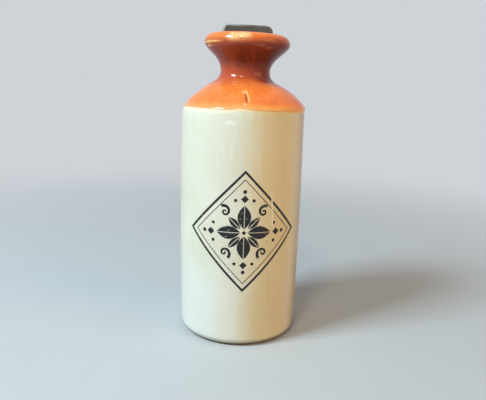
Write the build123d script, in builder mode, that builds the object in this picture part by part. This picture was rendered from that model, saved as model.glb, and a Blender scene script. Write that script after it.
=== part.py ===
from build123d import *
import os

# A stoneware hot water bottle with a screw stopper, standing on its foot.
# The origin is at the middle of the foot, +Z is up, and the stopper's grip runs along X.
# Lengths are in millimetres and angles in degrees.

# Outside of the bottle, from the foot up
body_radius = 46.5
belly_height = 95.0
foot_taper = 1.4
shoulder_taper = 0.9
body_height = 173.2
heel_rounding = 7.0
shoulder_rounding = 3.5
foot_ring_width = 5.5
foot_recess_depth = 1.5
foot_recess_slope = 1.5

# Shoulder, neck and lip, each height counted from the one before
shoulder_rise = 25.0
neck_root_arc = 9.0
neck_root_slope = 24.0
waist_radius = 18.35
neck_rise = 19.8
neck_pull = 10.2
lip_pull = 5.5
lip_radius = 31.2
lip_top_rise = 6.2
lip_flat = 0.5
mouth_rounding = 3.5

# Inside of the bottle
side_wall = 6.5
floor_wall = 8.5
shoulder_wall_drop = 7.0
floor_rounding = 12.0
shoulder_inner_rounding = 9.0
throat_drop = 9.5
throat_rounding = 3.0
bore_radius = 12.5
bore_lead_in = 1.0
mouth_radius = 21.8
mouth_depth = 12.2

# Rubber washer
washer_thickness = 3.0
washer_shank_gap = 0.3
washer_wall_gap = 3.0
washer_edge_rounding = 0.5

# Screw stopper
shank_gap = 0.3
shank_length = 22.0
shank_lead_in = 1.6
flange_wall_gap = 1.3
flange_thickness = 4.0
flange_edge_rounding = 1.0
grip_end_inset = 2.2
grip_root_thickness = 9.0
grip_top_thickness = 6.6
grip_height = 12.6
grip_corner_rounding = 5.0
grip_edge_rounding = 1.2
grip_root_rounding = 0.8

# Places that follow from the sizes above
foot_radius = body_radius - foot_taper
shoulder_radius = body_radius - shoulder_taper
foot_recess_radius = foot_radius - heel_rounding - foot_ring_width
waist_height = body_height + shoulder_rise
lip_height = waist_height + neck_rise
lip_top = lip_height + lip_top_rise
crest_radius = mouth_radius + mouth_rounding + lip_flat
seat_height = lip_top - mouth_depth
chamber_floor = foot_recess_depth + floor_wall
chamber_radius = foot_radius - side_wall
chamber_top = body_height - shoulder_wall_drop
throat_height = waist_height - throat_drop
shank_radius = bore_radius - shank_gap
flange_bottom = seat_height + washer_thickness
flange_top = flange_bottom + flange_thickness
flange_radius = mouth_radius - flange_wall_gap
grip_width = 2 * (flange_radius - grip_end_inset)


# The bottle: one turned clay body, with an open foot ring, a barrel side, a domed shoulder,
# a waisted neck and a rolled lip
with BuildPart() as bottle:
    with BuildSketch(Plane.XZ) as clay:
        with BuildLine():
            foot = Polyline(
                (0, lip_top),
                (0, foot_recess_depth),
                (foot_recess_radius - foot_recess_slope, foot_recess_depth),
                (foot_recess_radius, 0),
                (foot_radius, 0),
            )
            side = ThreePointArc(
                foot @ 1,
                (body_radius, belly_height),
                (shoulder_radius, body_height),
            )
            neck_root = JernArc(
                (waist_radius, waist_height),
                (0, -1),
                neck_root_arc,
                90 - neck_root_slope,
            )
            TangentArc(neck_root @ 1, side @ 1, tangent=neck_root % 1)
            neck = Bezier(
                (waist_radius, waist_height),
                (waist_radius, waist_height + neck_pull),
                (lip_radius, lip_height - lip_pull),
                (lip_radius, lip_height),
            )
            lip = TangentArc(neck @ 1, (crest_radius, lip_top), tangent=(0, 1))
            Line(lip @ 1, foot @ 0)
        make_face()
        heel_corner = clay.vertices().sort_by_distance((foot_radius, 0))[0]
        fillet(heel_corner, heel_rounding)
        shoulder_corner = clay.vertices().sort_by_distance((shoulder_radius, body_height))[0]
        fillet(shoulder_corner, shoulder_rounding)
    revolve(axis=Axis.Z)

    # Water chamber and the bore that the stopper screws into
    with BuildSketch(Plane.XZ):
        with BuildLine():
            hollow = FilletPolyline(
                (0, chamber_floor),
                (chamber_radius, chamber_floor),
                (chamber_radius, chamber_top),
                (bore_radius, throat_height),
                (bore_radius, seat_height),
                radius=[floor_rounding, shoulder_inner_rounding, throat_rounding],
            )
            Polyline(hollow @ 1, (0, seat_height), hollow @ 0)
        make_face()
    revolve(axis=Axis.Z, mode=Mode.SUBTRACT)

    # Mouth: a round recess in the lip, with a flat seat for the washer
    with BuildSketch(Plane.XY.offset(lip_top)):
        Circle(mouth_radius)
    extrude(amount=-mouth_depth, mode=Mode.SUBTRACT)
    lip_face = bottle.faces().filter_by(Axis.Z).sort_by(Axis.Z)[-1]
    fillet(lip_face.edges().sort_by(SortBy.RADIUS)[0], mouth_rounding)
    seat_face = bottle.faces().filter_by(Axis.Z).sort_by(Axis.Z)[-2]
    chamfer(seat_face.edges().sort_by(SortBy.RADIUS)[0], bore_lead_in)

# The washer: a flat rubber ring between the seat and the stopper's flange
with BuildPart() as washer:
    with BuildSketch(Plane.XY.offset(seat_height)):
        Circle(mouth_radius - washer_wall_gap)
        Circle(shank_radius + washer_shank_gap, mode=Mode.SUBTRACT)
    extrude(amount=washer_thickness)
    fillet(washer.edges().filter_by(GeomType.CIRCLE), washer_edge_rounding)

# The stopper's finger grip: an upright bar, thinner at the top, with round top corners
with BuildPart() as grip:
    with BuildSketch(Plane.XZ) as grip_front:
        with Locations((0, flange_top)):
            Rectangle(grip_width, grip_height, align=(Align.CENTER, Align.MIN))
        fillet(grip_front.vertices().group_by(Axis.Y)[-1], grip_corner_rounding)
    extrude(amount=grip_root_thickness / 2, both=True)
    with BuildSketch(Plane.YZ):
        with BuildLine():
            Polyline(
                (-grip_root_thickness / 2, flange_top),
                (grip_root_thickness / 2, flange_top),
                (grip_top_thickness / 2, flange_top + grip_height),
                (-grip_top_thickness / 2, flange_top + grip_height),
                close=True,
            )
        make_face()
    extrude(amount=grip_width / 2, both=True, mode=Mode.INTERSECT)
    grip_foot = grip.faces().filter_by(Axis.Z).sort_by(Axis.Z)[0]
    fillet(grip.edges() - grip_foot.edges(), grip_edge_rounding)

# The stopper: a plain shank, as thick as the middle of its thread, with a flange and the grip
with BuildPart() as stopper:
    with BuildSketch(Plane.XY.offset(flange_bottom)):
        Circle(shank_radius)
    extrude(amount=-shank_length)
    chamfer(stopper.edges().group_by(Axis.Z)[0], shank_lead_in)
    with BuildSketch(Plane.XY.offset(flange_bottom)):
        Circle(flange_radius)
    extrude(amount=flange_thickness)
    flange_face = stopper.faces().filter_by(Axis.Z).sort_by(Axis.Z)[-1]
    fillet(flange_face.edges(), flange_edge_rounding)
    add(grip.part)
    flange_face = stopper.faces().filter_by(Axis.Z).sort_by(Axis.Z)[-2]
    grip_root = flange_face.inner_wires()[0].edges()
    fillet(grip_root, grip_root_rounding)

bottle.part.label = "stoneware_bottle"
washer.part.label = "rubber_washer"
stopper.part.label = "screw_stopper"

os.makedirs("parts", exist_ok=True)
export_step(bottle.part, "parts/stoneware_bottle.step")
export_step(washer.part, "parts/rubber_washer.step")
export_step(stopper.part, "parts/screw_stopper.step")
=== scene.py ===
from math import cos, pi, radians, sin, tan, tau

import bpy
import numpy as np
from mathutils import Euler, Matrix, Vector


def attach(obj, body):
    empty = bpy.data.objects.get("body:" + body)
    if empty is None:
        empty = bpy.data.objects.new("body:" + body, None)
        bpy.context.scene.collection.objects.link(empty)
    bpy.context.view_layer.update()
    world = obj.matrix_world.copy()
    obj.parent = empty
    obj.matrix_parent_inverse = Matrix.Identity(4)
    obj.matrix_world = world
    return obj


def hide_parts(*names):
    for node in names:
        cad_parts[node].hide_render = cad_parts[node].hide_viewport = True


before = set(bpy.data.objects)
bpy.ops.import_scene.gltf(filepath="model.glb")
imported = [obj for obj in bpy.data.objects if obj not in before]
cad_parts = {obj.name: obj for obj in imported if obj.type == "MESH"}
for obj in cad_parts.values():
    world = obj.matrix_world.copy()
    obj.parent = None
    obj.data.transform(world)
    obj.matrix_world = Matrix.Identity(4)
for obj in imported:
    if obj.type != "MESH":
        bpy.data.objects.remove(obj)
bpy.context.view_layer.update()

# A stoneware hot water bottle with a black screw stopper, dressed for the render.
# Shapes are worked out in millimetres and put into the meshes in metres. An angle round the
# bottle is counted from the front, which faces -Y, and grows towards +X.

MM = 0.001


# ---------------------------------------------------------------------------
# Camera: the photograph's view, from a little above the shoulder
# ---------------------------------------------------------------------------

CAMERA_PLACE = Vector((0.0019, -0.392, 0.1888))
CAMERA_DOWN = radians(12.6)
CAMERA_TURN = 0.0
CAMERA_ROLL = radians(1.75)
FOCAL_PIXELS = 515.4
PICTURE_WIDTH = 486
SENSOR_WIDTH = 36.0


def set_camera():
    data = bpy.data.cameras.new("camera")
    data.sensor_width = SENSOR_WIDTH
    data.lens = SENSOR_WIDTH * FOCAL_PIXELS / PICTURE_WIDTH
    data.clip_start = 0.01
    camera = bpy.data.objects.new("camera", data)
    bpy.context.scene.collection.objects.link(camera)
    aim = Euler((pi / 2 - CAMERA_DOWN, 0.0, CAMERA_TURN)).to_matrix().to_4x4()
    camera.matrix_world = Matrix.Translation(CAMERA_PLACE) @ aim @ Matrix.Rotation(CAMERA_ROLL, 4, "Z")
    bpy.context.scene.camera = camera


# ---------------------------------------------------------------------------
# Numbers and curves
# ---------------------------------------------------------------------------

def ease(x, low, high):
    """0 below low, 1 above high, and 3t^2 - 2t^3 between them."""
    t = np.clip((np.asarray(x, float) - low) / (high - low), 0.0, 1.0)
    return t * t * (3.0 - 2.0 * t)


def arc(centre, radius, start, end, count):
    """Points of a circle's arc between two angles in degrees, as (radius, height) pairs."""
    angle = np.radians(np.linspace(start, end, count))
    return np.column_stack([centre[0] + radius * np.cos(angle), centre[1] + radius * np.sin(angle)])


def line(start, end, count):
    """Evenly spaced points from start to end."""
    return np.linspace(start, end, count)


def bezier(a, b, c, d, count):
    """A cubic Bezier curve: the four points weighted by (1-t)^3, 3t(1-t)^2, 3t^2(1-t) and t^3."""
    t = np.linspace(0.0, 1.0, count)[:, None]
    s = 1.0 - t
    a, b, c, d = (np.array(p) for p in (a, b, c, d))
    return s**3 * a + 3 * s * s * t * b + 3 * s * t * t * c + t**3 * d


def joined(*runs):
    """Runs of points one after the other, without the points where one ends and the next starts."""
    return np.vstack([runs[0]] + [run[1:] for run in runs[1:]])


# ---------------------------------------------------------------------------
# Meshes
# ---------------------------------------------------------------------------

def make_piece(name, points, faces, body, replaces=()):
    """A mesh piece from points in millimetres and lists of corners, smooth, riding on a body."""
    mesh = bpy.data.meshes.new(name)
    mesh.from_pydata((points * MM).tolist(), [], faces)
    mesh.validate()
    mesh.shade_smooth()
    piece = bpy.data.objects.new(name, mesh)
    bpy.context.scene.collection.objects.link(piece)
    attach(piece, body)
    if replaces:
        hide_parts(*replaces)
    return piece


def paint_points(piece, name, values):
    """A number for each point of a piece, which its finish reads by name."""
    held = piece.data.attributes.new(name, "FLOAT", "POINT")
    held.data.foreach_set("value", values.astype(np.float32))


def skin_faces(rings, columns, first=0, closed=False):
    """The faces of a skin over rings of points that close round. The ends close onto a pole point
    each, or the last ring runs back into the first one."""
    ring = np.arange(rings if closed else rings - 1)[:, None]
    column = np.arange(columns)[None, :]
    after = (ring + 1) % rings
    beside = (column + 1) % columns
    quads = np.stack(
        [
            first + ring * columns + column,
            first + ring * columns + beside,
            first + after * columns + beside,
            first + after * columns + column,
        ],
        axis=-1,
    ).reshape(-1, 4)
    faces = quads.tolist()
    if closed:
        return faces
    here = np.arange(columns)
    following = (here + 1) % columns
    last = first + (rings - 1) * columns
    start = np.full(columns, first + rings * columns)
    end = start + 1
    faces += np.column_stack([first + following, first + here, start]).tolist()
    faces += np.column_stack([last + here, last + following, end]).tolist()
    return faces


def skin_points(rings):
    """The points of closed-ended rings, with the middle of the first and of the last ring as poles."""
    flat = rings.reshape(-1, 3)
    return np.vstack([flat, rings[0].mean(axis=0), rings[-1].mean(axis=0)])


# ---------------------------------------------------------------------------
# The bottle
# ---------------------------------------------------------------------------

THREAD_PITCH = 6.0
BORE_MINOR = 12.45
BORE_GROOVE = 1.45
BORE_GROOVE_SHARE = 0.62
BORE_BOTTOM = 190.1
BORE_TOP = 211.0

LEAN_HEIGHTS = (158.0, 170.0, 174.0, 180.0, 187.0, 194.0, 200.0, 208.0, 216.0, 231.0)
LEANS = (0.0, 0.2, 0.9, 1.2, 1.2, 0.6, 0.7, 1.5, 1.65, 1.65)
MOUTH_LEAN = 1.0
LIP_TILT = radians(1.0)
MOUTH_RADIUS = 21.8
LIP_TOP = 224.2
SEAT = 212.0

NICK_ANGLE = radians(1.3)
NICK_RADIUS = 40.0
NICK_HEIGHT = 179.9
NICK_HALF_WIDTH = 0.66
NICK_HALF_HEIGHT = 4.0
NICK_SLANT = 1.3


def side_radius(height):
    """Radius of the barrel side: one long flat arc, fullest just over half way up."""
    return -3253.667 + np.sqrt(3300.167**2 - (height - 96.124) ** 2)


def outer_profile():
    """The outside of the bottle from the middle of its foot to the crest of its lip."""
    heights = np.linspace(6.81, 171.98, 52)
    side = np.column_stack([side_radius(heights), heights])
    return joined(
        line((2.0, 1.5), (31.0, 1.5), 6),
        line((31.0, 1.5), (32.5, 0.1), 4),
        line((32.5, 0.1), (33.0, 0.0), 2),
        line((33.0, 0.0), (38.29, 0.0), 4),
        arc((38.294, 7.0), 7.0, -90.0, -1.6, 14),
        side,
        arc((42.129, 171.901), 3.5, 1.3, 40.3, 9),
        arc((-0.452, 135.757), 59.353, 40.3, 57.0, 42),
        arc((-0.452, 135.757), 59.353, 57.0, 66.0, 13),
        arc((27.35, 198.2), 9.0, 246.0, 180.0, 13),
        bezier((18.35, 198.2), (18.35, 208.4), (31.2, 212.5), (31.2, 218.0), 24),
        arc((24.941, 218.0), 6.259, 0.0, 81.0, 15),
        line((25.89, 224.18), (25.3, 224.2), 2),
    )


def inner_profile():
    """The inside, from the lip's crest down the mouth, over the seat, down the bore and round
    the water chamber to the middle of its floor."""
    return joined(
        arc((25.3, 220.7), 3.5, 90.0, 180.0, 10),
        line((MOUTH_RADIUS, 220.7), (MOUTH_RADIUS, 212.5), 6),
        arc((21.3, 212.5), 0.5, 0.0, -90.0, 4),
        line((21.3, SEAT), (13.5, SEAT), 5),
        line((13.5, SEAT), (12.5, BORE_TOP), 4),
        line((12.5, BORE_TOP), (12.5, BORE_BOTTOM), 54),
        arc((15.5, 190.075), 3.0, 180.0, 229.24, 6),
        line((13.541, 187.802), (35.476, 168.893), 8),
        arc((29.6, 162.075), 9.0, 49.24, 0.0, 7),
        line((38.6, 162.075), (38.6, 22.0), 14),
        arc((26.6, 22.0), 12.0, 0.0, -90.0, 8),
        line((26.6, 10.0), (2.0, 10.0), 5),
    )


def front_angles(count, gather):
    """Angles once round the bottle, closer together at the front: u - gather sin u."""
    u = np.linspace(-pi, pi, count, endpoint=False)
    return u - gather * np.sin(u)


def thread_phase(angle, height):
    """How far round a turn of the right-handed screw a place is, from -0.5 to 0.5: the height less
    its share of a turn, in pitches, less the nearest whole number."""
    turns = height / THREAD_PITCH - angle / tau
    return turns - np.round(turns)


def clay_swell(angle, height):
    """How far the outside stands from a true turned form: the bottle is slightly oval and carries
    the faint rings of the maker's hand, and on its left the shoulder's corner has slumped and the
    root of the neck is fuller."""
    oval = 0.05 * np.cos(2.0 * angle + 0.7) + 0.02 * np.cos(3.0 * angle + 0.02 * height)
    rings = 0.02 * np.sin(height * tau / 11.0 + 0.8 * np.sin(angle))
    left = 0.5 - 0.5 * np.sin(angle)
    slump = 0.9 * np.exp(-(((height - 173.8) / 2.4) ** 2)) * left
    fuller = 1.5 * np.exp(-(((height - 190.3) / 3.4) ** 2)) * left**3
    return oval + rings - slump + fuller - 0.09


def lean(height, hold):
    """How far the shoulder, neck and lip stand over to +X: straight runs between a few heights."""
    return hold * np.interp(height, LEAN_HEIGHTS, LEANS)


def place(angle, radius, height, hold):
    """Points of the bottle's skin from angle, radius and height. hold is 1 where the skin leans
    fully with the neck and 0 where it stays true to the screw's axis."""
    x = radius * np.sin(angle) + lean(height, hold)
    y = -radius * np.cos(angle)
    tilt = hold * tan(LIP_TILT) * ease(height, 200.0, 219.0)
    return np.stack([x, y, height - tilt * x], axis=-1)


def shoulder_nick(angle, height):
    """How far the mark in the front of the shoulder stands out or in: a narrow slanting gash, an
    oval hollow of depth 1 - ease(reach), with clay pushed up in a rim over its top, broad down its
    right side and thin down its left, and in a small lump at its foot."""
    up = height - NICK_HEIGHT
    across = (angle - NICK_ANGLE) * NICK_RADIUS / NICK_HALF_WIDTH + NICK_SLANT * up / NICK_HALF_HEIGHT
    gash = 1.0 - ease(np.hypot(across, up / NICK_HALF_HEIGHT), 0.2, 1.15)
    reach = (np.abs((across + 0.4) / 3.0) ** 3 + np.abs((up - 0.3) / 4.0) ** 3) ** (1.0 / 3.0)
    right = ease(across, 0.4, 1.7) * ease(up, -3.4, -1.8)
    left = 0.45 * ease(-across, 0.4, 1.7) * ease(up, -2.4, -0.6)
    pushed = np.maximum(ease(up, 1.2, 3.0), np.maximum(right, left))
    rim = np.exp(-(((reach - 1.0) / (0.2 + 0.16 * right)) ** 2)) * pushed
    lump = np.exp(-(((across + 1.9) / 1.6) ** 2) - ((up + 3.7) / 0.9) ** 2)
    return 0.4 * rim + 0.4 * lump - 1.0 * gash


def make_bottle():
    """The whole clay body in one closed skin: each profile point carried once round, with the
    screw groove cut into the bore and the neck leaning a little."""
    outside = outer_profile()
    inside = inner_profile()[1:]
    columns = 224
    angle = front_angles(columns, 0.6)[None, :]
    radius = outside[:, :1]
    height = outside[:, 1:]
    handmade = ease(height, 3.0, 9.0) * (1.0 - ease(height, 205.0, 214.0))
    nick = shoulder_nick(angle, height)
    outer_radius = radius + handmade * clay_swell(angle, height) + nick
    outer = place(angle, outer_radius, height + 0.0 * angle, 1.0)

    radius = inside[:, :1]
    height = inside[:, 1:]
    groove = 1.0 - ease(np.abs(thread_phase(angle, height)), 0.14, 0.5 * BORE_GROOVE_SHARE)
    threaded = (radius <= 12.51) * ease(height, BORE_BOTTOM + 0.3, BORE_BOTTOM + 2.5)
    threaded = threaded + (radius > 12.51) * (radius < 14.2) * (height > 205.0)
    cut = BORE_MINOR + BORE_GROOVE * groove
    inner_radius = np.where(threaded > 0.0, np.maximum(radius - 0.05, threaded * cut), radius)
    hold = ease(height, SEAT, LIP_TOP) * (radius > 20.0)
    hold = hold + (MOUTH_LEAN / LEANS[-1] - hold) * (1.0 - ease(height, 219.0, 223.0)) * (radius > 20.0)
    inner = place(angle, inner_radius, height + 0.0 * angle, hold)

    rings = np.vstack([outer, inner])
    piece = make_piece(
        "bottle_clay",
        skin_points(rings),
        skin_faces(len(rings), columns),
        "bottle",
        ["stoneware_bottle"],
    )
    within = ease(LIP_TOP - inside[:, 1:] + 0.0 * angle, 1.0, 6.0)
    paint_points(piece, "nick", np.concatenate([nick.ravel(), np.zeros(within.size), [0.0, 0.0]]))
    paint_points(piece, "within", np.concatenate([np.zeros(nick.size), within.ravel(), [0.0, 1.0]]))
    return piece


# ---------------------------------------------------------------------------
# The washer and the stopper
# ---------------------------------------------------------------------------

def turned(profile, columns, swell=0.0):
    """Rings of points: a profile of (radius, height) carried once round the screw's axis."""
    angle = np.linspace(-pi, pi, columns, endpoint=False)[None, :]
    radius = profile[:, :1] + swell
    height = profile[:, 1:] + 0.0 * angle
    return np.stack([radius * np.sin(angle), -radius * np.cos(angle), height], axis=-1)


WASHER_INNER = 12.5
WASHER_OUTER = 18.8
WASHER_BOTTOM = 212.0
WASHER_TOP = 215.0
WASHER_ROUNDING = 0.5


def make_washer():
    """A flat ring with rounded edges."""
    low = WASHER_BOTTOM + WASHER_ROUNDING
    high = WASHER_TOP - WASHER_ROUNDING
    inner = WASHER_INNER + WASHER_ROUNDING
    outer = WASHER_OUTER - WASHER_ROUNDING
    top = line((outer, WASHER_TOP), (inner, WASHER_TOP), 13)
    profile = joined(
        arc((outer, low), WASHER_ROUNDING, -90.0, 0.0, 6),
        arc((outer, high), WASHER_ROUNDING, 0.0, 90.0, 6),
        top,
        arc((inner, high), WASHER_ROUNDING, 90.0, 180.0, 6),
        arc((inner, low), WASHER_ROUNDING, 180.0, 270.0, 6),
        line((inner, WASHER_BOTTOM), (outer - 0.6, WASHER_BOTTOM), 10),
    )
    rings = turned(profile, 128)
    return make_piece(
        "sealing_washer",
        rings.reshape(-1, 3),
        skin_faces(len(rings), 128, closed=True),
        "washer",
        ["rubber_washer"],
    )


SHANK_BOTTOM = 193.0
SHANK_PLAIN = 12.2
SCREW_ROOT = 11.5
SCREW_CREST = 13.3
SCREW_CREST_SHARE = 0.42
SCREW_TOP = 209.4
FLANGE_BOTTOM = 215.0
FLANGE_TOP = 219.0
FLANGE_RADIUS = 20.5

GRIP_TOP = 231.6
GRIP_HALF_LENGTH = 18.3
GRIP_ROOT_HALF = 4.5
GRIP_TOP_HALF = 3.3
GRIP_CORNER = 5.0
GRIP_EDGE = 1.2
GRIP_FOOT = 0.8
GRIP_SHIFT = 1.5
GRIP_TILT = radians(1.5)
GRIP_DROP = 0.5
FLANGE_SHIFT = 1.0


def stopper_plug():
    """Rings of the threaded shank and the flange, from the shank's end to the flange's top."""
    columns = 128
    profile = joined(
        line((1.0, SHANK_BOTTOM), (9.6, SHANK_BOTTOM), 4),
        arc((9.6, 194.4), 1.4, -90.0, 0.0, 6),
        line((11.0, 194.4), (SHANK_PLAIN, 195.2), 3),
        line((SHANK_PLAIN, 195.2), (SHANK_PLAIN, 211.0), 44),
        line((SHANK_PLAIN, 211.0), (SHANK_PLAIN, 214.7), 4),
        arc((12.5, 214.7), 0.3, 180.0, 90.0, 3),
        line((12.5, FLANGE_BOTTOM), (20.1, FLANGE_BOTTOM), 5),
        arc((20.1, 215.4), 0.4, -90.0, 0.0, 4),
        line((FLANGE_RADIUS, 215.4), (FLANGE_RADIUS, 218.0), 4),
        arc((19.5, 218.0), 1.0, 0.0, 90.0, 7),
        line((19.5, FLANGE_TOP), (1.0, FLANGE_TOP), 10),
    )
    angle = np.linspace(-pi, pi, columns, endpoint=False)[None, :]
    radius = profile[:, :1]
    height = profile[:, 1:]
    crest = 1.0 - ease(np.abs(thread_phase(angle, height)), 0.07, 0.5 * SCREW_CREST_SHARE)
    cut = SCREW_ROOT + (SCREW_CREST - SCREW_ROOT) * crest
    screwed = ease(height, 194.3, 196.5) * (1.0 - ease(height, SCREW_TOP - 1.2, SCREW_TOP + 0.6))
    screwed = screwed * (radius > 10.9) * (height < 212.0)
    rings = turned(profile, columns, swell=screwed * (cut - radius))
    rings[..., 0] += FLANGE_SHIFT * ease(rings[..., 2], 213.5, FLANGE_BOTTOM)
    return rings


def grip_section(half_length, half_width, corner, long_steps=22, short_steps=4, corner_steps=5):
    """Points round a rounded rectangle for each row of sizes: every point is a corner's centre or
    a place between two of them, plus the corner's radius times its own outward direction."""
    quarter = np.linspace(0.0, pi / 2, corner_steps)
    along, across, out_x, out_y = [], [], [], []
    for index, (sx, sy) in enumerate([(1, 1), (-1, 1), (-1, -1), (1, -1)]):
        turn = quarter + index * pi / 2
        along.append(np.full(corner_steps, sx))
        across.append(np.full(corner_steps, sy))
        out_x.append(np.cos(turn))
        out_y.append(np.sin(turn))
        steps = long_steps if index % 2 == 0 else short_steps
        run = np.linspace(1.0, -1.0, steps + 2)[1:-1]
        flat = np.zeros(steps)
        if index % 2 == 0:
            along.append(run * sx)
            across.append(flat + sy)
            out_x.append(flat)
            out_y.append(flat + sy)
        else:
            along.append(flat + sx)
            across.append(run * sy)
            out_x.append(flat + sx)
            out_y.append(flat)
    along, across, out_x, out_y = (np.concatenate(v)[None, :] for v in (along, across, out_x, out_y))
    x = along * (half_length - corner)[:, None] + corner[:, None] * out_x
    y = across * (half_width - corner)[:, None] + corner[:, None] * out_y
    return x, y


def stopper_grip():
    """Rings of the finger grip, stacked in height: the plan is a rounded rectangle that spreads
    into a small fillet at its foot, thins upwards, and rolls over a quarter circle at its ends and
    at its top edge."""
    rise = np.concatenate(
        [
            np.linspace(218.7, 219.8, 7),
            np.linspace(219.8, GRIP_TOP - GRIP_CORNER, 9)[1:],
            GRIP_TOP - GRIP_CORNER + GRIP_CORNER * np.sin(np.radians(np.linspace(0.0, 90.0, 19)))[1:],
        ]
    )
    foot = np.clip(FLANGE_TOP + GRIP_FOOT - rise, 0.0, GRIP_FOOT)
    spread = GRIP_FOOT - np.sqrt(np.maximum(GRIP_FOOT**2 - foot**2, 0.0))
    draft = (rise - FLANGE_TOP) / (GRIP_TOP - FLANGE_TOP)
    over = np.clip(rise - (GRIP_TOP - GRIP_CORNER), 0.0, GRIP_CORNER)
    length = GRIP_HALF_LENGTH - GRIP_CORNER + np.sqrt(GRIP_CORNER**2 - over**2) + spread
    roll = np.clip(rise - (GRIP_TOP - GRIP_EDGE), 0.0, GRIP_EDGE)
    width = GRIP_ROOT_HALF + (GRIP_TOP_HALF - GRIP_ROOT_HALF) * draft + spread
    width = width - GRIP_EDGE + np.sqrt(GRIP_EDGE**2 - roll**2)
    corner = np.full_like(rise, GRIP_EDGE) + spread
    corner = np.minimum(corner, width - 0.05)
    x, y = grip_section(length, width, corner)
    z = np.repeat(rise[:, None], x.shape[1], axis=1)
    top_x, top_y = x[-1], y[-1]
    shrink = np.array([0.8, 0.5, 0.2])[:, None]
    x = np.vstack([x, top_x * shrink])
    y = np.vstack([y, top_y * shrink])
    z = np.vstack([z, np.full((3, z.shape[1]), GRIP_TOP)])
    lean_over = ease(z, FLANGE_TOP - 0.4, FLANGE_TOP + 2.0)
    leaning = x + GRIP_SHIFT * lean_over
    drop = (GRIP_DROP + tan(GRIP_TILT) * x) * ease(z, FLANGE_TOP, GRIP_TOP)
    return np.stack([leaning, y, z - drop], axis=-1)


def grip_wear_and_sheen(rings):
    """1 along the grip's rolled edges, where hands have worn the black away and a painted highlight lies,
    and 0
    elsewhere: the nearer to a ring's ends or to the grip's top, the more. The left end, towards the light,
    gets most."""
    along = rings[..., 0] - GRIP_SHIFT
    height = rings[..., 2] + tan(GRIP_TILT) * rings[..., 0]
    half = np.abs(along).max(axis=1, keepdims=True)
    top = ease(height, GRIP_TOP - GRIP_DROP - 1.9, GRIP_TOP - GRIP_DROP - 0.9)
    ends = ease(np.abs(along), half - 1.9, half - 1.0) * ease(height, 221.0, 224.0)
    return np.maximum(top, ends) * (1.0 - 0.55 * ease(along, -14.0, 4.0))


def make_stopper():
    """The plug and the grip, moulded in one piece."""
    plug = stopper_plug()
    grip = stopper_grip()
    plug_points = skin_points(plug)
    grip_points = skin_points(grip)
    faces = skin_faces(len(plug), plug.shape[1])
    faces += skin_faces(len(grip), grip.shape[1], first=len(plug_points))
    piece = make_piece(
        "stopper_screw",
        np.vstack([plug_points, grip_points]),
        faces,
        "stopper",
        ["screw_stopper"],
    )
    # Pale rolled edges of the grip: partly wear, partly a painted highlight.
    worn = np.concatenate([np.zeros(len(plug_points)), grip_wear_and_sheen(grip).ravel(), [0.0, 1.0]])
    paint_points(piece, "wear", worn)
    return piece


# ---------------------------------------------------------------------------
# The printed ornament
# ---------------------------------------------------------------------------

PRINT_ANGLE = radians(4.0)
PRINT_HEIGHT = 88.0
PRINT_RADIUS = 46.4
PRINT_RISE = 0.03


def strip(left, right):
    """A flat strip of print between two border curves of (across, up) points."""
    return np.asarray(left, float), np.asarray(right, float)


def stroke(path, width):
    """A strip along a path, half its width to each side of it at every point."""
    path = np.asarray(path, float)
    step = np.gradient(path, axis=0)
    step /= np.linalg.norm(step, axis=1)[:, None]
    side = np.column_stack([-step[:, 1], step[:, 0]]) * 0.5 * np.reshape(width, (-1, 1))
    return strip(path + side, path - side)


def dot(centre, size):
    """A round dot, as a strip between its upper and its lower half circle."""
    turn = np.linspace(pi, 0.0, 15)
    upper = np.column_stack([np.cos(turn), np.sin(turn)])
    lower = upper * (1.0, -1.0)
    return strip(np.add(centre, size * upper), np.add(centre, size * lower))


def lozenge(centre, half_width, half_height):
    """A small solid lozenge."""
    across = np.array([-1.0, -0.5, 0.0, 0.5, 1.0])
    up = 1.0 - np.abs(across)
    shape = np.column_stack([across * half_width, up * half_height])
    return strip(np.add(centre, shape), np.add(centre, shape * (1.0, -1.0)))


def frame_side(half_width, half_height, thickness, quarter):
    """One of a lozenge frame's four sides, mitred where it meets the next."""
    corners = np.array([(1.0, 0.0), (0.0, 1.0), (-1.0, 0.0), (0.0, -1.0), (1.0, 0.0)])
    t = np.linspace(0.0, 1.0, 25)[:, None]
    run = (1.0 - t) * corners[quarter] + t * corners[quarter + 1]
    grow = thickness * np.hypot(half_width, half_height) / (half_width + half_height)
    size = np.array([half_width, half_height])
    return strip(run * (size - grow), run * (size + grow))


def leaf(root, tip, bend, width):
    """Two half leaves each side of a bare midrib: the width follows sin(pi t)^0.8 along a midline
    that bows sideways by bend."""
    root, tip = np.array(root, float), np.array(tip, float)
    t = np.linspace(0.0, 1.0, 21)
    run = tip - root
    normal = np.array([-run[1], run[0]]) / np.hypot(*run)
    midline = root + t[:, None] * run + (bend * np.sin(pi * t))[:, None] * normal
    full = width * np.sin(pi * t) ** 0.8
    gap = np.minimum(0.22, 0.3 * full)
    return [
        strip(midline + full[:, None] * normal, midline + gap[:, None] * normal),
        strip(midline - gap[:, None] * normal, midline - full[:, None] * normal),
    ]


def scroll(centre, size, start, turns, hand, width):
    """A spiral line that shrinks as it winds, size e^(-0.24 a), and thins towards its eye."""
    a = np.linspace(0.0, turns * tau, 48)
    reach = size * np.exp(-0.24 * a)
    angle = start + hand * a
    path = np.column_stack([reach * np.cos(angle), reach * np.sin(angle)]) + centre
    return stroke(path, width * (0.35 + 0.65 * np.exp(-0.2 * a)))


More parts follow.
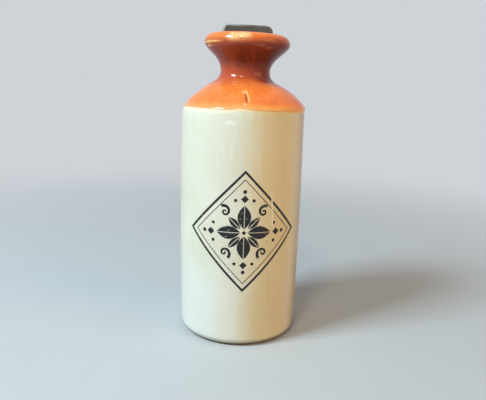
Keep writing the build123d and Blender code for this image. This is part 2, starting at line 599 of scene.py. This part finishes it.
def ornament():
    """The strips of a plain printer's ornament: a double lozenge frame round a cross of leaves,
    with scrolls, small lozenges and dots between them."""
    strips = []
    for quarter in range(4):
        strips.append(frame_side(41.0, 43.0, 1.7, quarter))
        strips.append(frame_side(35.8, 37.6, 0.6, quarter))
    for sx, sy in ((1, 0), (-1, 0), (0, 1), (0, -1)):
        root = (2.6 * sx, 2.6 * sy)
        tip = (19.4 * sx, 19.4 * sy)
        strips += leaf(root, tip, 0.0, 4.8)
        strips.append(lozenge((24.0 * sx, 24.0 * sy), 2.8, 2.8))
        strips.append(dot((29.2 * sx, 29.2 * sy), 1.4))
    for sx in (1, -1):
        for sy in (1, -1):
            strips += leaf((2.8 * sx, 2.8 * sy), (11.0 * sx, 11.0 * sy), 0.0, 2.5)
            eye = (13.8 * sx, 14.8 * sy)
            strips.append(scroll(eye, 4.8, pi / 2 * (2 - sy) - 0.6 * sx, 1.35, sx * sy, 2.3))
            strips.append(dot((22.2 * sx, 6.4 * sy), 1.2))
            strips.append(dot((6.4 * sx, 23.0 * sy), 1.2))
    strips.append(lozenge((0.0, 0.0), 1.7, 1.7))
    return strips


def on_wall(across, up, rise):
    """A place of the flat ornament carried onto the bottle's side, rise above the glaze."""
    angle = PRINT_ANGLE + across / PRINT_RADIUS
    height = PRINT_HEIGHT + up
    radius = side_radius(height) + clay_swell(angle, height) + rise
    return place(angle, radius, height, 1.0)


def make_print():
    """The ornament as thin raised strips: each one runs from its left border to its right one in
    four steps that follow the glaze's curve, with both borders again just under it."""
    share = np.array([0.0, 0.0, 0.25, 0.5, 0.75, 1.0, 1.0])[None, :]
    rise = PRINT_RISE * np.array([-1.0, 1.0, 1.0, 1.0, 1.0, 1.0, -1.0])[None, :]
    points, faces, count = [], [], 0
    for left, right in ornament():
        across = left[:, :1] + share * (right[:, :1] - left[:, :1])
        up = left[:, 1:] + share * (right[:, 1:] - left[:, 1:])
        rings = on_wall(across, up, rise)
        points.append(skin_points(rings))
        faces += skin_faces(len(rings), share.size, first=count)
        count += len(points[-1])
    return make_piece("printed_ornament", np.vstack(points), faces, "bottle")


# ---------------------------------------------------------------------------
# Materials
# ---------------------------------------------------------------------------

def colour(red, green, blue):
    """A colour as seen on a screen, 0 to 255, in the linear numbers that a shader takes."""
    seen = np.array([red, green, blue]) / 255.0
    linear = np.where(seen <= 0.04045, seen / 12.92, ((seen + 0.055) / 1.055) ** 2.4)
    return (*linear.tolist(), 1.0)


class Value:
    """A number that varies over a surface. Arithmetic on it adds Math nodes."""

    def __init__(self, finish, socket):
        self.finish = finish
        self.socket = socket

    def math(self, operation, *others):
        return self.finish.math(operation, self, *others)

    def __add__(self, other):
        return self.math("ADD", other)

    __radd__ = __add__

    def __mul__(self, other):
        return self.math("MULTIPLY", other)

    __rmul__ = __mul__

    def __sub__(self, other):
        return self.math("SUBTRACT", other)

    def __rsub__(self, other):
        return self.finish.math("SUBTRACT", other, self)

    def __truediv__(self, other):
        return self.math("DIVIDE", other)

    def __pow__(self, other):
        return self.math("POWER", other)

    def __abs__(self):
        return self.math("ABSOLUTE")


class Finish:
    """A material under construction, or the world's background."""

    def __init__(self, owner):
        self.owner = owner
        owner.use_nodes = True
        self.tree = owner.node_tree
        self.tree.nodes.clear()
        coordinates = self.node("ShaderNodeTexCoord")
        scaled = self.node(
            "ShaderNodeVectorMath",
            {"operation": "SCALE"},
            {0: coordinates.outputs["Object"], "Scale": 1000.0},
        )
        self.point = scaled.outputs[0]
        parts = self.node("ShaderNodeSeparateXYZ", {}, {0: self.point})
        self.x, self.y, self.z = (Value(self, parts.outputs[i]) for i in range(3))

    def node(self, kind, settings=None, sockets=None):
        """A node of one kind, its settings first, then a value or a link for each named socket."""
        made = self.tree.nodes.new(kind)
        for name, setting in (settings or {}).items():
            setattr(made, name, setting)
        for name, given in (sockets or {}).items():
            given = given.socket if isinstance(given, Value) else given
            if isinstance(given, bpy.types.NodeSocket):
                self.tree.links.new(given, made.inputs[name])
            else:
                made.inputs[name].default_value = given
        return made

    def math(self, operation, *values):
        made = self.node("ShaderNodeMath", {"operation": operation}, dict(enumerate(values)))
        return Value(self, made.outputs[0])

    def ease(self, value, low, high):
        """0 where value is below low, 1 above high, and smooth between."""
        sockets = {"Value": value, "From Min": low, "From Max": high}
        made = self.node("ShaderNodeMapRange", {"interpolation_type": "SMOOTHSTEP"}, sockets)
        return Value(self, made.outputs["Result"])

    def noise(self, size, detail=2.0, stretch=(1.0, 1.0, 1.0), vector=None):
        """Soft noise from 0 to 1, with features of about size millimetres, stretched per axis, or
        laid out by a vector of its own."""
        if vector is None:
            mapping = self.node("ShaderNodeMapping", {}, {"Vector": self.point, "Scale": stretch})
            vector = mapping.outputs[0]
        sockets = {"Vector": vector, "Scale": 1.0 / size, "Detail": detail}
        return Value(self, self.node("ShaderNodeTexNoise", {}, sockets).outputs["Fac"])

    def wrapped(self, angle, turning, rising):
        """A place on the turned skin as if it were a drum: turning and rising set how fast a
        pattern changes round it and up it."""
        sockets = {
            0: turning * self.math("SINE", angle),
            1: turning * self.math("COSINE", angle),
            2: rising * self.z,
        }
        return self.node("ShaderNodeCombineXYZ", {}, sockets).outputs[0]

    def specks(self, size, radius):
        """Small round spots scattered one to a cell of size millimetres: 1 inside the radius."""
        made = self.node(
            "ShaderNodeTexVoronoi", {}, {"Vector": self.point, "Scale": 1.0 / size, "Randomness": 1.0}
        )
        return 1.0 - self.ease(Value(self, made.outputs["Distance"]), 0.5 * radius / size, radius / size)

    def mix(self, factor, first, second):
        """The first colour where factor is 0 and the second where it is 1."""
        made = self.node("ShaderNodeMix", {"data_type": "RGBA"}, {0: factor, 6: first, 7: second})
        return made.outputs[2]

    def painted(self, name):
        """The numbers that a piece carries on its points under a name."""
        return Value(self, self.node("ShaderNodeAttribute", {"attribute_name": name}).outputs["Fac"])

    def shown(self):
        """1 for what the eye sees, straight or in gloss and glass, and 0 for what only lights."""
        ray = self.node("ShaderNodeLightPath").outputs
        seen = Value(self, ray["Is Camera Ray"]) + Value(self, ray["Is Glossy Ray"])
        return self.math("MINIMUM", seen + Value(self, ray["Is Transmission Ray"]), 1.0)

    def surface(self, base, roughness, height, **constants):
        """A colour, a roughness, a bump height in millimetres, and plain numbers."""
        bump = self.node("ShaderNodeBump", {}, {"Height": height, "Distance": MM, "Strength": 1.0})
        sockets = {"Base Color": base, "Roughness": roughness, "Normal": bump.outputs[0]}
        sockets.update({name.replace("_", " "): number for name, number in constants.items()})
        return self.node("ShaderNodeBsdfPrincipled", {}, sockets).outputs[0]

    def finish(self, surface, output="ShaderNodeOutputMaterial"):
        self.node(output, {}, {"Surface": surface})
        return self.owner


MARK_RADIUS = 46.0
STREAK_ANGLE = radians(29.0)
STREAK_MIDDLE = 105.0
STREAK_LEAN = 0.054
STREAK_LOW = 90.5
STREAK_HIGH = 120.0


def bearing(f):
    """The angle round the bottle from its front, in radians."""
    return f.math("ARCTAN2", f.x, 0.0 - f.y)


def smudge(f, angle, height, half_width, half_height):
    """A soft oval mark on the bottle's side, as a mask: 1 at a place given by its angle in degrees
    and its height, and 0 at the oval's rim."""
    across = (bearing(f) - radians(angle)) * (MARK_RADIUS / half_width)
    up = (f.z - height) * (1.0 / half_height)
    return 1.0 - f.ease(f.math("SQRT", across * across + up * up), 0.2, 1.0)


def streak(f):
    """The thin pale line down the right of the front, a glaze run painted as bright as a highlight,
    as a mask: near one slanting line, between two heights, wavering a little and fading upwards."""
    off = (bearing(f) - STREAK_ANGLE) * MARK_RADIUS + STREAK_LEAN * (f.z - STREAK_MIDDLE)
    off = abs(off + 1.0 * (f.noise(12.0, 1.0) - 0.5))
    span = f.ease(f.z, STREAK_LOW, STREAK_LOW + 3.0) * (1.0 - f.ease(f.z, STREAK_MIDDLE + 4.0, STREAK_HIGH))
    return 0.9 * span * (1.0 - f.ease(off, 0.25, 0.75))


def glaze_line(f, cloud):
    """Height of the tan glaze's edge: level on the left, falling to the right, with a slight lap
    in the front."""
    front = 1.0 - f.ease(f.y, -20.0, 0.0)
    lap = 0.8 * front * f.math("EXPONENT", 0.0 - ((f.x + 0.5) / 6.0) ** 2.0)
    fall = 0.04 * f.math("MAXIMUM", f.x - 8.0, 0.0)
    return 172.35 - fall + lap + 0.5 * (f.noise(22.0, 1.0) - 0.5) + 0.5 * (cloud - 0.5)


def glazed_stoneware():
    """Cream glaze on the body, tan glaze from the shoulder up, bare clay on the foot ring and dark
    slip inside."""
    f = Finish(bpy.data.materials.new("two_tone_glaze"))
    radius = f.math("SQRT", f.x * f.x + f.y * f.y)
    broad = f.noise(38.0, 2.0)
    cloud = f.noise(9.0, 3.0)
    fine = f.noise(1.6, 3.0)
    runs = f.noise(3.2, 2.0, (1.0, 1.0, 0.12))

    cream = f.mix(f.ease(broad, 0.3, 0.7), colour(227, 223, 205), colour(220, 215, 193))
    cream = f.mix(0.4 * f.ease(runs, 0.52, 0.75), cream, colour(231, 229, 214))
    angle = bearing(f)
    # Painted warm light: a tan tone over the right of the body where a warm lamp falls, eased off near the
    # edge.
    painted_warm_light = f.ease(angle + 0.3 * (broad - 0.5), -0.1, 0.5) * (1.0 - 0.45 * f.ease(angle, 0.75, 1.05))
    painted_warm_light = painted_warm_light * (1.0 - f.ease(angle, 1.3, 2.4))
    cream = f.mix(0.7 * painted_warm_light, cream, colour(230, 200, 136))
    brushed = f.ease(f.noise(1.0, 2.0, vector=f.wrapped(angle, 13.0, 0.012)), 0.35, 0.8)
    cream = f.mix((0.04 + 0.08 * painted_warm_light) * brushed, cream, colour(204, 156, 98))
    # Painted shade: darker towards the bottom on the right.
    cream = f.mix(0.11 * painted_warm_light * (1.0 - f.ease(f.z, 10.0, 130.0)), cream, colour(150, 108, 66))
    # Painted shade: a brown band down the body's right edge, faded before the back.
    brown = f.ease(angle, 0.95, 1.3) * (1.0 - f.ease(angle, 1.4, 2.1))
    cream = f.mix(0.5 * brown, cream, colour(150, 112, 70))
    # Painted cool light: a paler, bluer tone low on the body's left.
    painted_cool_light = (1.0 - f.ease(angle, -0.6, 0.1)) * f.ease(angle, -2.6, -1.5) * (1.0 - f.ease(f.z, 30.0, 80.0))
    cream = f.mix(0.6 * painted_cool_light, cream, colour(228, 231, 226))
    # Painted reflection: a soft pale spot high on the front of the body.
    cream = f.mix(0.42 * smudge(f, -10.0, 163.8, 6.0, 2.7), cream, colour(252, 250, 234))
    # Painted shade: darker round the heel where it turns under.
    painted_heel_shade = (1.0 - f.ease(f.z, 1.0, 7.0)) * (0.4 + 0.4 * broad)
    cream = f.mix(painted_heel_shade, cream, colour(150, 138, 110))
    # Painted contact shadow: near black along the foot, strongest on the right.
    painted_contact_shadow = (1.0 - f.ease(f.z, 1.2, 4.6)) * (0.35 + 0.55 * f.ease(angle, -0.8, 0.5))
    cream = f.mix(painted_contact_shadow, cream, colour(74, 64, 54))
    cream = f.mix(0.6 * f.specks(7.0, 0.32), cream, colour(140, 112, 80))
    cream = f.mix(0.25 * f.specks(23.0, 0.7), cream, colour(96, 74, 56))
    cream = f.mix(0.85 * smudge(f, 24.25, 81.0, 0.8, 0.8), cream, colour(72, 58, 46))

    tan_glaze = f.mix(f.ease(cloud, 0.3, 0.7), colour(241, 132, 62), colour(231, 118, 52))
    tan_glaze = f.mix(0.4 * f.ease(runs, 0.5, 0.8), tan_glaze, colour(246, 150, 84))
    shaded = f.ease(angle, 0.1, 0.9) * (1.0 - f.ease(angle, 1.6, 2.6))
    # Darker red-brown up the neck and under the lip: partly glaze pooled thicker there, partly painted shade
    # under the lip.
    neck = f.ease(f.z, 186.0 + 1.5 * shaded, 196.0 - 4.0 * shaded) * (1.0 - f.ease(f.z, 215.0, 223.5))
    tan_glaze = f.mix(0.92 * neck, tan_glaze, colour(156, 60, 37))
    under_lip_pool_and_shade = f.ease(f.z, 198.0, 206.0) * (1.0 - f.ease(f.z, 210.0, 219.5))
    tan_glaze = f.mix(0.85 * under_lip_pool_and_shade, tan_glaze, colour(97, 33, 24))
    trickle = f.noise(1.0, 3.0, vector=f.wrapped(angle, 7.0, 0.06))
    tan_glaze = f.mix(0.3 * neck * f.ease(trickle, 0.4, 0.75), tan_glaze, colour(186, 80, 40))
    # Painted shade on the neck's right side.
    tan_glaze = f.mix(0.5 * neck * shaded, tan_glaze, colour(78, 28, 24))
    # Painted light: the neck's left side, towards the lamp, lighter and ruddier.
    painted_light_on_neck = (1.0 - f.ease(angle, -0.5, 0.0)) * f.ease(angle, -2.4, -1.4)
    tan_glaze = f.mix(0.3 * neck * painted_light_on_neck, tan_glaze, colour(204, 92, 58))
    # Pale flecks round the root of the neck, painted bright as glints of light.
    flecks_and_glints = f.specks(2.4, 0.3) * f.ease(f.z, 189.0, 191.0) * (1.0 - f.ease(f.z, 194.0, 197.0))
    tan_glaze = f.mix(0.45 * flecks_and_glints, tan_glaze, colour(240, 160, 110))
    # Painted reflection: golden streaks along the left of the lip.
    painted_lip_reflection = f.noise(1.0, 1.0, vector=f.wrapped(angle, 3.0, 0.6))
    painted_lip_reflection = (0.35 + 0.9 * f.ease(painted_lip_reflection, 0.3, 0.65)) * f.math(
        "MAXIMUM", smudge(f, -55.0, 217.8, 24.0, 1.25), 0.85 * smudge(f, -60.0, 215.3, 14.0, 1.3)
    )
    tan_glaze = f.mix(f.math("MINIMUM", painted_lip_reflection, 0.8), tan_glaze, colour(250, 192, 112))
    # Painted highlights: two faint pale patches low on the lip's right.
    painted_lip_highlights = f.math("MAXIMUM", smudge(f, 21.0, 215.3, 8.0, 1.6), smudge(f, 33.0, 213.9, 8.0, 1.4))
    tan_glaze = f.mix(0.34 * painted_lip_highlights * (0.4 + 0.9 * fine), tan_glaze, colour(206, 124, 78))
    # Painted highlight: a broad pale patch on the front of the lip.
    tan_glaze = f.mix(0.6 * smudge(f, -2.0, 221.8, 11.0, 2.4), tan_glaze, colour(255, 224, 164))
    # Painted highlight: a pale patch on the lip's crest, left of the front.
    crest = f.ease(angle, -0.46, -0.3) * (1.0 - f.ease(angle, 0.02, 0.2)) * f.ease(f.z, 216.0, 221.0)
    crest = crest * (1.0 - f.ease(f.z, 223.2, 223.9)) * f.ease(cloud + 0.5 * fine, 0.55, 0.85)
    tan_glaze = f.mix(0.65 * crest, tan_glaze, colour(255, 214, 150))

    line_height = glaze_line(f, cloud)
    above = f.z - line_height
    thin = 1.0 - f.ease(above, 0.0, 5.5)
    to_right = f.ease(f.x, -20.0, 26.0)
    pale_tan = f.mix(to_right, colour(251, 174, 108), colour(255, 192, 102))
    tan_glaze = f.mix(0.65 * thin, tan_glaze, pale_tan)
    # The pale bead under the tan glaze's edge: partly the glaze's own yellow-cream edge, partly a painted
    # highlight, broader and paler on the left.
    edge = f.ease(above + 1.6 * (1.0 - to_right), -1.5, -0.3) * (1.0 - f.ease(above, 0.1, 0.5))
    bead_and_highlight = f.mix(to_right, colour(240, 225, 194), colour(250, 204, 126))
    cream = f.mix(0.75 * edge, cream, bead_and_highlight)
    skin = f.mix(f.ease(above, -0.15, 0.45), cream, tan_glaze)

    clay = f.mix(f.ease(fine, 0.3, 0.7), colour(176, 152, 118), colour(156, 130, 98))
    foot = (1.0 - f.ease(f.z + 1.2 * (cloud - 0.5), 1.1, 2.2)) * (1.0 - f.ease(radius, 43.0, 44.5))
    skin = f.mix(foot, skin, clay)
    slip = f.mix(f.ease(cloud, 0.35, 0.65), colour(122, 66, 36), colour(96, 50, 30))
    skin = f.mix(f.painted("within"), skin, slip)
    nick = f.painted("nick")
    # The gash painted dark as shade, and its raised rim painted pale as a highlight.
    skin = f.mix(0.8 * f.ease(0.0 - nick, 0.1, 0.5), skin, colour(112, 66, 36))
    skin = f.mix(0.8 * f.ease(nick * (0.7 + 0.6 * fine), 0.1, 0.36), skin, colour(250, 196, 134))
    # Painted highlight along the pale glaze run.
    skin = f.mix(streak(f), skin, colour(253, 236, 208))

    height = 0.045 * cloud + 0.02 * fine + 0.05 * runs + 0.35 * f.ease(above, -0.4, 0.5)
    height = height - 0.12 * f.specks(11.0, 0.4)
    rough = 0.08 + 0.1 * f.noise(5.0, 3.0) + 0.5 * foot
    return f.finish(f.surface(skin, rough, height, IOR=1.5, Specular_IOR_Level=0.28))


def black_print():
    """Transfer ink under the glaze, worn through in small patches."""
    f = Finish(bpy.data.materials.new("transfer_ink"))
    wear = f.ease(f.noise(2.2, 4.0), 0.62, 0.72) * 0.7
    ink = f.mix(f.ease(f.noise(0.9, 2.0), 0.3, 0.7), colour(14, 15, 15), colour(28, 28, 27))
    ink = f.mix(wear, ink, colour(190, 180, 155))
    # Painted highlight along the pale glaze run, over the ink too.
    ink = f.mix(streak(f), ink, colour(253, 236, 208))
    return f.finish(f.surface(ink, 0.2 + 0.1 * f.noise(4.0), 0.02 * f.noise(0.8), IOR=1.5))


def hard_rubber():
    """Black moulded rubber gone brown-grey with age, pale along its edges: partly worn, partly a painted
    highlight.
    """
    f = Finish(bpy.data.materials.new("aged_hard_rubber"))
    wear = f.painted("wear")
    grain = f.noise(0.7, 3.0)
    cloud = f.noise(6.0, 3.0)
    black = f.mix(f.ease(cloud, 0.3, 0.7), colour(66, 58, 54), colour(84, 74, 69))
    black = f.mix(0.4 * f.ease(grain, 0.45, 0.7), black, colour(104, 95, 90))
    # Pale rolled edges: partly wear, partly a painted highlight.
    edge = f.ease(wear * (0.55 + 0.9 * f.noise(2.4, 3.0)), 0.3, 0.95)
    black = f.mix(0.85 * edge, black, colour(164, 164, 158))
    scratches = f.ease(f.noise(0.9, 2.0, (0.15, 1.0, 1.0)), 0.62, 0.72)
    height = 0.03 * grain - 0.04 * scratches
    rough = 0.42 + 0.2 * cloud + 0.1 * scratches
    return f.finish(f.surface(black, rough, height, IOR=1.5))


def washer_rubber():
    """Soft red-brown rubber, dull, with a dusty bloom."""
    f = Finish(bpy.data.materials.new("perished_rubber"))
    cloud = f.noise(3.0, 3.0)
    base = f.mix(f.ease(cloud, 0.3, 0.7), colour(112, 52, 42), colour(88, 44, 38))
    base = f.mix(0.35 * f.ease(f.noise(0.8, 3.0), 0.55, 0.75), base, colour(148, 112, 98))
    return f.finish(f.surface(base, 0.62 + 0.2 * cloud, 0.05 * f.noise(0.6, 3.0), IOR=1.5))


BACKDROP = colour(206, 211, 216)


def pale_floor():
    """A smooth pale table top that fades to the backdrop's even tone as it runs away."""
    f = Finish(bpy.data.materials.new("pale_table"))
    base = f.mix(f.noise(60.0, 2.0), colour(188, 192, 195), colour(193, 197, 200))
    table = f.surface(base, 0.6 + 0.1 * f.noise(30.0), 0.05 * f.noise(5.0), IOR=1.4)
    backdrop = f.node("ShaderNodeEmission", {}, {"Color": BACKDROP, "Strength": 1.0}).outputs[0]
    away = f.math("SQRT", f.x * f.x + f.y * f.y)
    share = f.shown() * f.ease(away, 140.0, 850.0)
    return f.finish(f.node("ShaderNodeMixShader", {}, {0: share, 1: table, 2: backdrop}).outputs[0])


# ---------------------------------------------------------------------------
# Floor, lights and background
# ---------------------------------------------------------------------------

def make_floor():
    """A wide round table top: rings of points round the bottle, out to 9 metres."""
    angle = np.linspace(-pi, pi, 64, endpoint=False)
    radius = np.array([100.0, 400.0, 1500.0, 9000.0])[:, None]
    rings = np.stack([radius * np.sin(angle), -radius * np.cos(angle), 0.0 * radius * angle], axis=-1)
    ring, column = np.arange(3)[:, None] * 64, np.arange(64)[None, :]
    beside = (column + 1) % 64
    faces = np.stack([ring + column, ring + 64 + column, ring + 64 + beside, ring + beside], axis=-1)
    middle = np.column_stack([np.arange(64), (np.arange(64) + 1) % 64, np.full(64, 256)])
    mesh = bpy.data.meshes.new("table_top")
    points = np.vstack([rings.reshape(-1, 3), [[0.0, 0.0, 0.0]]]) * MM
    mesh.from_pydata(points.tolist(), [], faces.reshape(-1, 4).tolist() + middle.tolist())
    floor = bpy.data.objects.new("table_top", mesh)
    bpy.context.scene.collection.objects.link(floor)
    floor.data.materials.append(pale_floor())


def add_lamp(name, azimuth, elevation, distance, size, watts, tint):
    """A square soft light that looks at the bottle's middle. Azimuth 0 is the camera's side and
    -90 is the bottle's left as it is seen."""
    data = bpy.data.lights.new(name, "AREA")
    data.shape = "SQUARE"
    data.size = size
    data.energy = watts
    data.color = tint
    lamp = bpy.data.objects.new(name, data)
    bpy.context.scene.collection.objects.link(lamp)
    flat = cos(radians(elevation)) * distance
    middle = Vector((0.0, 0.0, 0.12))
    away = Vector(
        (
            sin(radians(azimuth)) * flat,
            -cos(radians(azimuth)) * flat,
            sin(radians(elevation)) * distance,
        )
    )
    lamp.matrix_world = Matrix.Translation(middle + away) @ away.to_track_quat("Z", "Y").to_matrix().to_4x4()


def set_light():
    add_lamp("window_light", -60.0, 44.0, 1.3, 0.36, 18.6, (0.69, 0.89, 1.0))
    add_lamp("front_light", -18.0, 52.0, 1.4, 0.2, 4.6, (1.0, 0.88, 0.66))
    add_lamp("warm_fill", 62.0, 22.0, 1.6, 1.0, 8.4, (1.0, 0.60, 0.25))
    f = Finish(bpy.data.worlds.new("studio"))
    light = f.node("ShaderNodeBackground", {}, {"Color": (0.93, 0.96, 1.0, 1.0), "Strength": 0.26})
    backdrop = f.node("ShaderNodeBackground", {}, {"Color": BACKDROP, "Strength": 1.0})
    sockets = {0: f.shown(), 1: light.outputs[0], 2: backdrop.outputs[0]}
    mixed = f.node("ShaderNodeMixShader", {}, sockets).outputs[0]
    bpy.context.scene.world = f.finish(mixed, "ShaderNodeOutputWorld")
    bpy.context.scene.view_settings.view_transform = "Standard"


# ---------------------------------------------------------------------------
# Putting it together
# ---------------------------------------------------------------------------

set_camera()
make_bottle().data.materials.append(glazed_stoneware())
make_print().data.materials.append(black_print())
make_washer().data.materials.append(washer_rubber())
make_stopper().data.materials.append(hard_rubber())
make_floor()
set_light()
